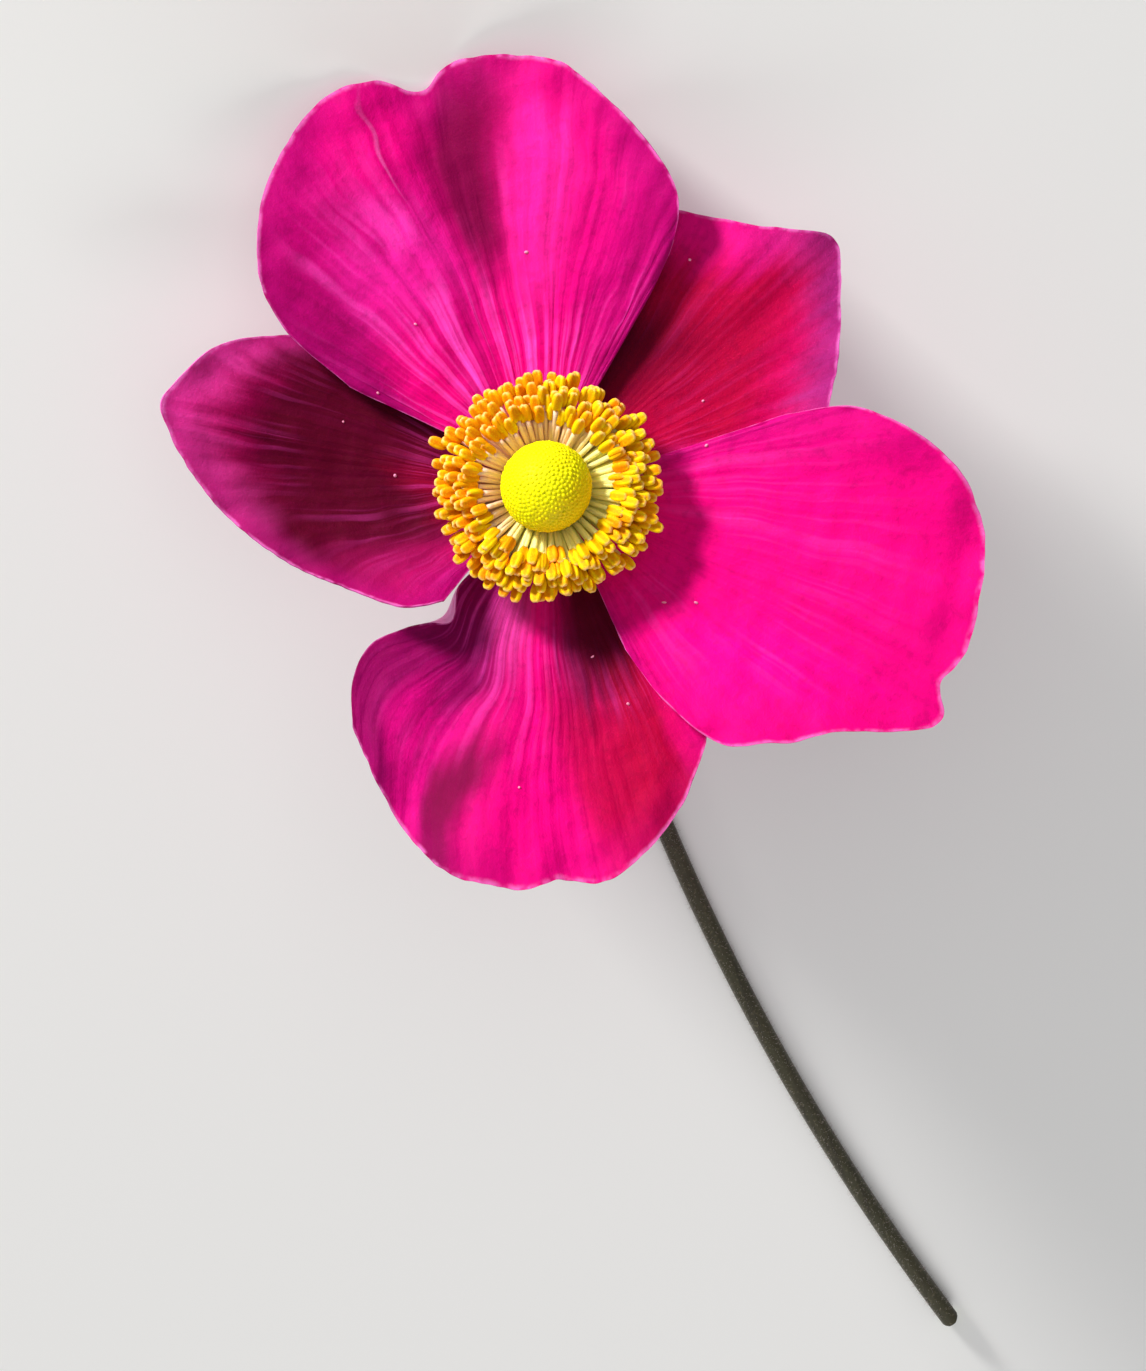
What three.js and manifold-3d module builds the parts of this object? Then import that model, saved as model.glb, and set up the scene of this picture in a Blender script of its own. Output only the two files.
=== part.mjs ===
// A single Japanese anemone bloom on its own cut stalk, as picked, lying on a surface.
// Millimetres, +Z up. The flower rests on the two lobes of its top petal's tip and on its stalk.
//
// The bloom is shaped face on, in a frame of its own: X to the right, Y up, Z out of the face, with
// the receptacle at the origin. Angles on the face run anticlockwise from X. The bloom's group then
// tilts that frame as the flower lies, and the stalk runs away behind it along the surface.
import * as THREE from 'three';
import { mergeVertices } from 'three/addons/utils/BufferGeometryUtils.js';
import { ConvexGeometry } from 'three/addons/geometries/ConvexGeometry.js';
import Module from 'manifold-3d';

const wasm = await Module();
wasm.setup();

// Driving dimensions
const FACE_LEAN = 30; // degrees between the bloom's face and facing straight up
const STALK_SIDE = -72; // degrees: the side of the face that the stalk runs off behind
const SAUCER = 0.0035; // rise of the open bloom for each square millimetre of radius
const PETAL_THICKNESS = 0.6;
const CLAW_RADIUS = 1.9; // where each petal starts, round the receptacle
const CLAW_SPREAD = 30; // degrees to each side of the petal's axis at its claw
const OUTER_DROP = 0.95; // how far the outer petals lie behind the inner ones at the claw
const OUTER_FLARE = 0.03; // and how much further behind for each millimetre of radius
const CLAW_RISE = 0.05; // the most that a claw stands up under the ring of stamens
const SEAT_GAP = 0.3; // the gap left between neighbouring pieces
const RING_RADIUS = 2.9; // the ring of the receptacle that carries the stamens
const RING_HEIGHT = 1.45;
const RING_CHAMFER = 0.35;
const RING_SIDES = 20;
const ROOT_RADIUS = 2.1; // where the filaments are sunk into the ring
const ANTHER_RADIUS = 0.42;
const ANTHER_LENGTH = 1.3;
const FILAMENT_RADIUS = 0.17;
const STAMEN_SIDES = 4;
const UNEVEN_TURN = 0.22; // how far a stamen strays: round, as a share of its spacing,
const UNEVEN_OUT = 0.3; // outwards, in millimetres,
const UNEVEN_UP = 0.35; // and upwards
const HEAD_RADIUS = 3.6; // the round head of carpels
const HEAD_RISE = 5.1; // its centre above the receptacle
const CARPELS = 230;
const CARPEL_RELIEF = 0.22;
const STALK_RADIUS = 0.78; // at the cut end
const NECK_RADIUS = 0.68; // just behind the bloom
const STALK_SIDES = 10;
const STALK_STEP = 2.4; // the spacing of the stalk's sections
const STRAIGHT_NECK = 5; // how far the stalk runs straight before it bends to the surface
const STALK_REACH = 97; // how far the cut end lies behind the bloom
const STALK_SWEEP = 11; // how far it has curved to one side there
const CUT_SLANT = 0.45;

// The receptacle under the petals, where the stalk widens: [radius, depth below its seat].
const FLARE = [[2.4, 0], [2.3, 0.5], [1.5, 1.5], [0.9, 2.6]];
const FLARE_LENGTH = 4;

// Petal outlines as seen face on: [degrees, millimetres from the centre], anticlockwise along the
// margin. A petal runs straight from its claw to each end of its margin, unless flank gives the
// side that leads to the first end, from the claw out. relief is the height that each petal adds to
// the saucer, by its distance along its own axis and across it.
const PETALS = [
  {
    name: 'petal_top',
    axis: 107,
    colour: 0xd3127e,
    margin: [
      [62, 15.5], [62.5, 21], [66, 25], [73, 27.8], [79, 29.8], [85, 32.2], [90, 33.4],
      [97, 33.9], [103, 33.9], [108, 32.4], [113, 34.5], [120, 34.9], [128, 33.4],
      [136, 30.8], [143, 28], [149, 23.6], [153, 17],
    ],
    relief: (along, across) =>
      0.006 * across ** 2 -
      1.3 * ridge(across, 3.6) * rise(along, 10, 26) -
      0.012 * beyond(along, 20) ** 2,
  },
  {
    name: 'petal_right',
    axis: -23,
    colour: 0xe80f86,
    margin: [
      [-64, 14], [-61, 19], [-56, 24], [-47, 27.2], [-40, 29.6], [-35, 33.2], [-30.5, 35.8],
      [-26.5, 34.4], [-21, 35.1], [-14, 34.8], [-6, 34.4], [2, 32.2], [9.5, 28.3],
      [15, 24.4], [17, 19.5],
    ],
    relief: (along, across) =>
      0.004 * across ** 2 +
      0.8 * Math.sin(0.42 * across + 0.6) * rise(along, 16, 34) -
      0.01 * beyond(along, 20) ** 2,
  },
  {
    name: 'petal_upper_right',
    axis: 42,
    outer: true,
    colour: 0xc00d5c,
    margin: [
      [8, 19.5], [12, 22.3], [19, 23.6], [26, 25.6], [33.5, 27.6], [40.5, 29.4],
      [46, 28.3], [53, 25.8], [60, 24.6], [67, 23.4], [73, 20], [75, 14.5],
    ],
    relief: (along, across) =>
      0.35 * Math.sin(0.5 * across) * rise(along, 14, 28) - 0.02 * beyond(along, 19) ** 2,
  },
  {
    name: 'petal_left',
    axis: 180,
    outer: true,
    colour: 0xa80c62,
    margin: [
      [141, 12], [143, 17.5], [147, 21.5], [151.5, 24.8], [156, 27.6], [161, 29.2],
      [167.5, 30.7], [171.5, 29.6], [178, 27.6], [186, 24.6], [194, 21.8], [203, 18.6],
      [213, 16], [221, 14.3], [228, 12],
    ],
    relief: (along, across) =>
      0.05 * beyond(across, 0) ** 2 + 0.008 * beyond(along, 14) ** 2,
  },
  {
    name: 'petal_bottom',
    axis: 267,
    outer: true,
    colour: 0xdc0f7c,
    margin: [
      [231, 24], [237, 25.6], [244, 27.8], [251, 29.9], [258, 31.2], [266, 31.4],
      [271.5, 30.7], [277, 31.1], [283, 30.2], [290, 28], [297, 25.4], [304, 22.5],
      [309, 18.5],
    ],
    flank: [
      [237, 1.9], [232.5, 4.7], [229, 7.4], [228.4, 10.2], [231.6, 12.9], [224.6, 15.6],
      [221.6, 18.4], [224.8, 21.3], [231, 24],
    ],
    relief: (along, across) =>
      (0.9 * ridge(across + 0.1 * along, 2.6) - 1.1 * ridge(across + 0.36 * along, 2.4)) *
        rise(along, 8, 24) -
      0.01 * beyond(-across, 8) ** 2,
  },
];
const PETAL_STEPS_ROUND = 26;
const PETAL_STEPS_OUT = 9;
const SLOPE_STEP = 0.05; // how far apart two heights are compared for the slope between them

// Whorls of stamens, from the head outwards: how many, and where the middle of each anther lies.
const WHORLS = [
  { count: 26, radius: 5.9, height: 5.3 },
  { count: 30, radius: 6.8, height: 5.0 },
  { count: 34, radius: 7.7, height: 4.4 },
  { count: 37, radius: 8.4, height: 3.5 },
];

const radians = THREE.MathUtils.degToRad;
const rise = (x, from, to) => THREE.MathUtils.smoothstep(x, from, to);
const ridge = (x, width) => Math.exp(-((x / width) ** 2));
const beyond = (x, start) => Math.max(0, x - start);
const onFace = (degrees, radius) =>
  new THREE.Vector3(radius * Math.cos(radians(degrees)), radius * Math.sin(radians(degrees)), 0);
const smoothCurve = (outline) =>
  new THREE.CatmullRomCurve3(outline.map((place) => onFace(...place)), false, 'catmullrom', 0.5);

// Levels of the receptacle along the bloom's axis, from the middle of the inner claws: the top of
// the stalk's core, the foot of the ring of stamens, the seat of the head, and the seat that the
// outer petals lie on.
const CORE_RADIUS = CLAW_RADIUS * Math.cos(radians(CLAW_SPREAD)) - SEAT_GAP;
const CORE_TOP = PETAL_THICKNESS / 2 + CLAW_RISE;
const RING_FOOT = CORE_TOP + SEAT_GAP;
const HEAD_SEAT = RING_FOOT + RING_HEIGHT + SEAT_GAP;
const PETAL_SEAT = -OUTER_DROP - PETAL_THICKNESS / 2 - SEAT_GAP;

// Height of a petal's middle surface above the receptacle, at a place on the face.
function petalHeight(petal, x, y) {
  const turn = Math.atan2(y, x) - radians(petal.axis);
  const radius = Math.hypot(x, y);
  const behind = petal.outer ? OUTER_DROP + OUTER_FLARE * radius : 0;
  return (
    SAUCER * radius ** 2 - behind +
    petal.relief(radius * Math.cos(turn), radius * Math.sin(turn))
  );
}

// A petal is a thin blade: a grid of veins and cross lines between its claw and its margin, with
// the same triangles on both faces and a rim between them.
function petalGeometry(petal) {
  const margin = smoothCurve(petal.margin);
  const flank = petal.flank && smoothCurve(petal.flank);
  const claw = [-CLAW_SPREAD, CLAW_SPREAD].map((side) => onFace(petal.axis + side, CLAW_RADIUS));
  const grid = new THREE.PlaneGeometry(1, 1, PETAL_STEPS_ROUND, PETAL_STEPS_OUT);
  const places = grid.getAttribute('position');
  const count = places.count;
  const points = [];
  for (const face of [1, -1]) {
    for (let i = 0; i < count; i++) {
      const round = places.getX(i) + 0.5;
      const out = places.getY(i) + 0.5;
      const foot = claw[0].clone().lerp(claw[1], round);
      const place = foot.lerp(margin.getPoint(round), out);
      if (flank) {
        const straight = claw[0].clone().lerp(margin.getPoint(0), out);
        place.addScaledVector(flank.getPoint(out).sub(straight), (1 - round) ** 2);
      }
      const height = petalHeight(petal, place.x, place.y);
      const normal = new THREE.Vector3(
        (height - petalHeight(petal, place.x + SLOPE_STEP, place.y)) / SLOPE_STEP,
        (height - petalHeight(petal, place.x, place.y + SLOPE_STEP)) / SLOPE_STEP,
        1,
      ).normalize();
      place.setZ(height).addScaledVector(normal, (face * PETAL_THICKNESS) / 2);
      points.push(place);
    }
  }
  const front = Array.from(grid.index.array);
  const faces = [];
  for (let i = 0; i < front.length; i += 3) {
    const [a, b, c] = front.slice(i, i + 3);
    faces.push(a, c, b, a + count, b + count, c + count);
  }
  const row = PETAL_STEPS_ROUND + 1;
  const rim = [];
  for (let i = 0; i < PETAL_STEPS_ROUND; i++) rim.push(i);
  for (let j = 0; j < PETAL_STEPS_OUT; j++) rim.push(row * (j + 1) - 1);
  for (let i = PETAL_STEPS_ROUND; i > 0; i--) rim.push(row * PETAL_STEPS_OUT + i);
  for (let j = PETAL_STEPS_OUT; j > 0; j--) rim.push(row * j);
  rim.forEach((a, i) => {
    const b = rim[(i + 1) % rim.length];
    faces.push(b, a, a + count, b, a + count, b + count);
  });
  return new THREE.BufferGeometry().setFromPoints(points).setIndex(faces);
}

// Closed three.js geometry as a solid, and back, for joins and cuts.
function toSolid(geometry) {
  const bare = geometry.clone();
  bare.deleteAttribute('normal');
  bare.deleteAttribute('uv');
  const merged = mergeVertices(bare, 1e-4);
  const index = merged.index.array;
  const triangles = [];
  for (let i = 0; i < index.length; i += 3) {
    const [a, b, c] = [index[i], index[i + 1], index[i + 2]];
    if (a !== b && b !== c && c !== a) triangles.push(a, b, c);
  }
  return new wasm.Manifold(new wasm.Mesh({
    numProp: 3,
    vertProperties: merged.getAttribute('position').array,
    triVerts: new Uint32Array(triangles),
  }));
}

function toGeometry(solid) {
  const made = solid.getMesh();
  return new THREE.BufferGeometry()
    .setAttribute('position', new THREE.BufferAttribute(made.vertProperties, 3))
    .setIndex(new THREE.BufferAttribute(made.triVerts, 1));
}

// A profile of [radius, height] pairs turned about the bloom's axis.
function turned(profile, sides) {
  const points = profile.map(([radius, height]) => new THREE.Vector2(radius, height));
  return new THREE.LatheGeometry(points, sides);
}

// A small repeatable draw between -1 and 1.
function seededDraw(seed) {
  let state = seed;
  return () => {
    state = (state * 1664525 + 1013904223) % 4294967296;
    return (2 * state) / 4294967296 - 1;
  };
}

// One stamen, from its root at the origin up the Y axis: a thin filament and the anther at its end.
function stamenGeometry(length) {
  const neck = length - ANTHER_LENGTH;
  const profile = [
    [0, 0], [FILAMENT_RADIUS, 0], [0.8 * FILAMENT_RADIUS, neck],
    [ANTHER_RADIUS, neck + 0.25 * ANTHER_LENGTH], [0.9 * ANTHER_RADIUS, length - 0.25 * ANTHER_LENGTH],
    [0, length],
  ];
  return turned(profile, STAMEN_SIDES);
}

// The stamens, fused to the ring of the receptacle that they grow from.
function stamensGeometry() {
  const top = RING_FOOT + RING_HEIGHT;
  const ring = turned([
    [0, RING_FOOT], [RING_RADIUS - RING_CHAMFER, RING_FOOT], [RING_RADIUS, RING_FOOT + RING_CHAMFER],
    [RING_RADIUS, top - RING_CHAMFER], [RING_RADIUS - RING_CHAMFER, top], [0, top],
  ], RING_SIDES).rotateX(Math.PI / 2);
  const parts = [toSolid(ring)];
  const draw = seededDraw(7);
  const up = new THREE.Vector3(0, 1, 0);
  WHORLS.forEach(({ count, radius, height }, whorl) => {
    for (let i = 0; i < count; i++) {
      const turn = (360 * (i + 0.5 * (whorl % 2) + UNEVEN_TURN * draw())) / count;
      const root = onFace(turn, ROOT_RADIUS).setZ(RING_FOOT + RING_HEIGHT / 2);
      const middle = onFace(turn, radius + UNEVEN_OUT * draw()).setZ(height + UNEVEN_UP * draw());
      const reach = middle.sub(root);
      const length = reach.length() + ANTHER_LENGTH / 2;
      const stamen = stamenGeometry(length);
      stamen.applyQuaternion(new THREE.Quaternion().setFromUnitVectors(up, reach.normalize()));
      stamen.translate(root.x, root.y, root.z);
      parts.push(toSolid(stamen));
    }
  });
  return toGeometry(wasm.Manifold.union(parts));
}

// The head of carpels: a ball whose surface stands out at each carpel, evenly spread on a spiral,
// and sinks between them. It is cut flat where it sits on the receptacle.
function carpelHeadGeometry() {
  const golden = Math.PI * (3 - Math.sqrt(5));
  const tips = [];
  for (let i = 0; i < CARPELS; i++) {
    const z = 1 - (2 * (i + 0.5)) / CARPELS;
    const flat = Math.sqrt(1 - z * z);
    tips.push(new THREE.Vector3(flat * Math.cos(i * golden), flat * Math.sin(i * golden), z));
  }
  const hull = new ConvexGeometry(tips).getAttribute('position');
  const points = [];
  for (let i = 0; i < hull.count; i += 3) {
    const corners = [0, 1, 2].map((k) => new THREE.Vector3().fromBufferAttribute(hull, i + k));
    const pit = corners[0].clone().add(corners[1]).add(corners[2]).normalize();
    pit.multiplyScalar(HEAD_RADIUS - CARPEL_RELIEF);
    corners.forEach((corner) => corner.multiplyScalar(HEAD_RADIUS));
    for (let k = 0; k < 3; k++) points.push(corners[k], corners[(k + 1) % 3], pit);
  }
  const ball = new THREE.BufferGeometry().setFromPoints(points).translate(0, 0, HEAD_RISE);
  const size = 4 * HEAD_RADIUS;
  const below = new THREE.BoxGeometry(size, size, size).translate(0, 0, HEAD_SEAT - size / 2);
  return toGeometry(toSolid(ball).subtract(toSolid(below)));
}

// The line that the stalk follows, from the core of the receptacle down behind the bloom and along
// the surface to the cut end.
function stalkPath(bloomHeight) {
  const lean = radians(FACE_LEAN);
  const axis = new THREE.Vector3(Math.sin(lean), 0, Math.cos(lean));
  const centre = new THREE.Vector3(0, 0, bloomHeight);
  const rest = STALK_RADIUS * Math.cos(Math.PI / STALK_SIDES);
  const corner = centre.clone().addScaledVector(axis, (rest - bloomHeight) / axis.z);
  const neck = centre.clone().addScaledVector(axis, -STRAIGHT_NECK);
  const landing = new THREE.Vector3(corner.x - corner.distanceTo(neck), 0, rest);
  const end = new THREE.Vector3(-STALK_REACH, -STALK_SWEEP, rest);
  const middle = new THREE.Vector3((landing.x + end.x) / 2, 0, rest);
  const path = new THREE.CurvePath();
  path.add(new THREE.LineCurve3(centre.clone().addScaledVector(axis, CORE_TOP), neck));
  path.add(new THREE.QuadraticBezierCurve3(neck, corner, landing));
  path.add(new THREE.QuadraticBezierCurve3(landing, middle, end));
  return path;
}

// The stalk: its profile is turned straight and then bent along the path. The receptacle's core and
// flare are its top, so stalk and receptacle are one piece, as they grow.
function stalkGeometry(bloomHeight) {
  const path = stalkPath(bloomHeight);
  const length = path.getLength();
  const seat = CORE_TOP - PETAL_SEAT;
  const profile = [[0, 0], [CORE_RADIUS, 0], [CORE_RADIUS, seat]];
  for (const [radius, depth] of FLARE) profile.push([radius, seat + depth]);
  const start = seat + FLARE_LENGTH;
  const steps = Math.round((length - start) / STALK_STEP);
  for (let i = 0; i <= steps; i++) {
    const down = i / steps;
    const radius = THREE.MathUtils.lerp(NECK_RADIUS, STALK_RADIUS, rise(down, 0, 0.25));
    profile.push([radius, start + (length - start) * down]);
  }
  profile.push([0, length]);
  const stalk = turned(profile, STALK_SIDES).rotateY(Math.PI / STALK_SIDES);
  const places = stalk.getAttribute('position');
  for (let i = 0; i < places.count; i++) {
    const [across, down, over] = [places.getX(i), places.getY(i), places.getZ(i)];
    const share = Math.min(1, down / length);
    const tangent = path.getTangentAt(share);
    const side = new THREE.Vector3(-tangent.y, tangent.x, 0);
    side.normalize();
    const top = side.clone().cross(tangent);
    const place = path.getPointAt(share);
    place.addScaledVector(side, across).addScaledVector(top, over);
    if (share > 0.9999) place.addScaledVector(tangent, CUT_SLANT * over);
    places.setXYZ(i, place.x, place.y, place.z);
  }
  return stalk;
}

function piece(name, geometry, colour, roughness) {
  const material = new THREE.MeshStandardMaterial({ color: colour, roughness, metalness: 0 });
  const mesh = new THREE.Mesh(geometry, material);
  mesh.name = name;
  return mesh;
}

// The bloom, face on, then turned so that the stalk's side points to -X and leaned towards +X.
const face = new THREE.Group();
face.rotation.z = radians(180 - STALK_SIDE);
for (const petal of PETALS) {
  face.add(piece(petal.name, petalGeometry(petal), petal.colour, 0.55));
}
face.add(piece('stamens', stamensGeometry(), 0xf5b80f, 0.6));
face.add(piece('carpel_head', carpelHeadGeometry(), 0xd9dc12, 0.5));
const bloom = new THREE.Group();
bloom.rotation.y = radians(FACE_LEAN);
bloom.add(face);

// The bloom is lifted until its lowest petal tip touches the surface.
bloom.updateMatrixWorld(true);
bloom.position.z = -new THREE.Box3().setFromObject(bloom, true).min.z;

const flower = new THREE.Group();
flower.add(bloom);
flower.add(piece('stalk', stalkGeometry(bloom.position.z), 0x5b4448, 0.7));

// The origin is under the middle of the lying flower.
flower.updateMatrixWorld(true);
const box = new THREE.Box3().setFromObject(flower, true);
const middle = box.getCenter(new THREE.Vector3());
flower.position.set(-middle.x, -middle.y, -box.min.z);

export default flower;
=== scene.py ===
# %% [markdown]
# # A picked Japanese anemone
#
# This file dresses a Japanese anemone bloom that lies on a table on its own cut stalk. Five broad
# magenta petals, which a botanist would call sepals, spread round a ring of golden stamens and a
# round, yellow-green head of carpels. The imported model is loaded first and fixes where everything
# is. Every piece below is made in that frame, and most stand in for one of its plain solids.

# %% Load the frame
import math

import bmesh
import bpy
import numpy as np
from mathutils import Matrix, Vector


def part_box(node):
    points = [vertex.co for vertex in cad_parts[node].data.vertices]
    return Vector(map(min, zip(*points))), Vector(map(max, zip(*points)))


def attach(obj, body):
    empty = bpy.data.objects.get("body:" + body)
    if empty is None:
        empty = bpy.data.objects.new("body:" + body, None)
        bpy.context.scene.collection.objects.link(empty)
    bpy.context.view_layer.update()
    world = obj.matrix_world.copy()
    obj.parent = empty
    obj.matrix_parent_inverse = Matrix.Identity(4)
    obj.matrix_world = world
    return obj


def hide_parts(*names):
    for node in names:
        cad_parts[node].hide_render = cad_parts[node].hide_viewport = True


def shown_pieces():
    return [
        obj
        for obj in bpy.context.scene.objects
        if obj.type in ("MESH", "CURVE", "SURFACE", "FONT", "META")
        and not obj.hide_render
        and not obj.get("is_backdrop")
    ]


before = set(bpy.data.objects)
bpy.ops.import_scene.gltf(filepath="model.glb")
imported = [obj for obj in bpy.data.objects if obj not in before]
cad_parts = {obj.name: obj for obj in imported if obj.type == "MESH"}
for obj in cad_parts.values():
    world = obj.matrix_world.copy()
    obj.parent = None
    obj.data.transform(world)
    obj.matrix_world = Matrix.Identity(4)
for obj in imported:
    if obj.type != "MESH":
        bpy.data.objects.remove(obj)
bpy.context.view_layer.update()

print("the frame's solids:", sorted(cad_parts))

# %% [markdown]
# ## Where the bloom is
#
# A flower is easiest to shape face on: X to the right, Y up, Z out of the face, in millimetres from
# the receptacle that everything grows from. The bloom lies tilted, so one matrix takes that face
# frame to its place. The head of carpels is a ball, so its box in the frame gives its centre, and
# the receptacle lies straight below it along the bloom's axis.

# %% Place the face of the bloom
MM = 0.001
FACE_LEAN = math.radians(30)
STALK_SIDE = math.radians(-72)
HEAD_RADIUS = 3.6
HEAD_RISE = 5.1

axis = Vector((math.sin(FACE_LEAN), 0, math.cos(FACE_LEAN)))
head_low, head_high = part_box("carpel_head")
head_centre = Vector((
    (head_low.x + head_high.x) / 2,
    (head_low.y + head_high.y) / 2,
    head_high.z - HEAD_RADIUS * MM,
))
receptacle = head_centre - axis * HEAD_RISE * MM
FACE_TO_FRAME = (
    Matrix.Translation(receptacle)
    @ Matrix.Rotation(FACE_LEAN, 4, "Y")
    @ Matrix.Rotation(math.pi - STALK_SIDE, 4, "Z")
    @ Matrix.Scale(MM, 4)
)


def face_direction(degrees):
    """A direction on the face, counted from its right, as a direction in the frame."""
    turn = math.radians(degrees)
    across_face = Vector((math.cos(turn), math.sin(turn), 0))
    return (FACE_TO_FRAME.to_3x3() @ across_face).normalized()


print("receptacle at", [round(c / MM, 2) for c in receptacle], "mm")

# %% [markdown]
# ## Helpers for modelling
#
# Blender's operators act on whatever is selected, as they would by hand, so each piece starts with
# nothing selected. A finished piece rides on the frame's body and hides the plain solid that it
# stands for.


# %% Select, apply and finish
def select_only(piece):
    bpy.ops.object.select_all(action="DESELECT")
    piece.select_set(True)
    bpy.context.view_layer.objects.active = piece


def apply_modifiers(piece):
    select_only(piece)
    for modifier in list(piece.modifiers):
        bpy.ops.object.modifier_apply(modifier=modifier.name)


def start_piece(name):
    """The primitive that was just added, under its piece's name."""
    piece = bpy.context.active_object
    piece.name = piece.data.name = name
    return piece


def finish_piece(piece, slot, *nodes):
    """Hangs a piece on the frame's body, in place of the plain solids that it stands for."""
    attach(piece, "root")
    if nodes:
        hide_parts(*nodes)
    piece.data.calc_loop_triangles()
    print(piece.name, "has", len(piece.data.loop_triangles), "triangles")


def read_points(mesh):
    """The mesh's points as an array, with a row for each."""
    points = np.empty(len(mesh.vertices) * 3)
    mesh.vertices.foreach_get("co", points)
    return points.reshape(-1, 3)


def write_points(mesh, points):
    mesh.vertices.foreach_set("co", np.ascontiguousarray(points, dtype=np.float32).ravel())
    mesh.update()


def copies_of(template, places, name):
    """One object with a copy of the template at every place, each copy of its own mesh."""
    work = bmesh.new()
    for place in places:
        copy = template.data.copy()
        if callable(place):
            place(copy)
        else:
            copy.transform(place)
        work.from_mesh(copy)
        bpy.data.meshes.remove(copy)
    mesh = bpy.data.meshes.new(name)
    work.to_mesh(mesh)
    work.free()
    for material in template.data.materials:
        mesh.materials.append(material)
    made = bpy.data.objects.new(name, mesh)
    bpy.context.scene.collection.objects.link(made)
    bpy.data.objects.remove(template)
    return made


def join_into(piece, *others):
    """The other objects' meshes become part of the piece, with their materials."""
    bpy.ops.object.select_all(action="DESELECT")
    for other in others:
        other.select_set(True)
    piece.select_set(True)
    bpy.context.view_layer.objects.active = piece
    bpy.ops.object.join()
    return piece


# %% [markdown]
# ## Helpers for uneven growth
#
# Nothing on a flower is quite even. A few sine waves that cross at odd headings make a smooth,
# wandering value at every place, and a seed keeps it the same each time.


# %% Smooth steps, ridges and wandering values
def rise(x, start, end):
    """0 up to start, 1 from end on, and smooth between them."""
    t = np.clip((x - start) / (end - start), 0, 1)
    return t * t * (3 - 2 * t)


def ridge(x, width):
    """1 at 0, falling off smoothly on both sides."""
    return np.exp(-((x / width) ** 2))


def beyond(x, start):
    """How far x lies past start, and 0 before it."""
    return np.maximum(0, x - start)


def wander(seed, x, y, finest, waves=12):
    """About -1 to 1, and it takes at least the length finest to go up and down again."""
    draw = np.random.default_rng(seed)
    total = np.zeros(np.broadcast(x, y).shape)
    for _ in range(waves):
        heading = draw.uniform(0, math.pi)
        reach = finest * draw.uniform(1, 2.6)
        along = x * math.cos(heading) + y * math.sin(heading)
        total += np.sin(2 * math.pi * along / reach + draw.uniform(0, 2 * math.pi))
    return total / math.sqrt(waves)


# %% [markdown]
# ## Helpers for materials
#
# A finish is a handful of nodes. Written as Python sums they stay readable, so a small class wraps
# a socket and turns + - * / into Math nodes. Every other node comes from one method, which sets the
# node's options first and then its sockets, from values or from other nodes.


# %% Shader maths as Python expressions
def tint(red, green, blue):
    """A colour as it is read on a screen, 0 to 255, turned into light."""
    def light(level):
        level /= 255
        return level / 12.92 if level <= 0.04045 else ((level + 0.055) / 1.055) ** 2.4
    return (light(red), light(green), light(blue), 1)


class Value:
    """A number that changes over a surface: a socket that sums can be made of."""

    def __init__(self, finish, socket):
        self.finish = finish
        self.socket = socket

    def maths(self, operation, *numbers):
        return self.finish.node("ShaderNodeMath", {"operation": operation}, dict(enumerate(numbers)))

    def __add__(self, other):
        return self.maths("ADD", self, other)

    def __radd__(self, other):
        return self.maths("ADD", other, self)

    def __sub__(self, other):
        return self.maths("SUBTRACT", self, other)

    def __rsub__(self, other):
        return self.maths("SUBTRACT", other, self)

    def __mul__(self, other):
        return self.maths("MULTIPLY", self, other)

    def __rmul__(self, other):
        return self.maths("MULTIPLY", other, self)

    def __truediv__(self, other):
        return self.maths("DIVIDE", self, other)

    def wave(self):
        return self.maths("SINE", self)

    def most(self, other):
        return self.maths("MAXIMUM", self, other)

    def far_from(self, centre):
        return self.maths("ABSOLUTE", self - centre)

    def rise(self, start, end):
        """0 up to start, 1 from end on, and smooth between them."""
        settings = {"interpolation_type": "SMOOTHSTEP"}
        return self.finish.node("ShaderNodeMapRange", settings, {0: self, 1: start, 2: end})


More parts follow.
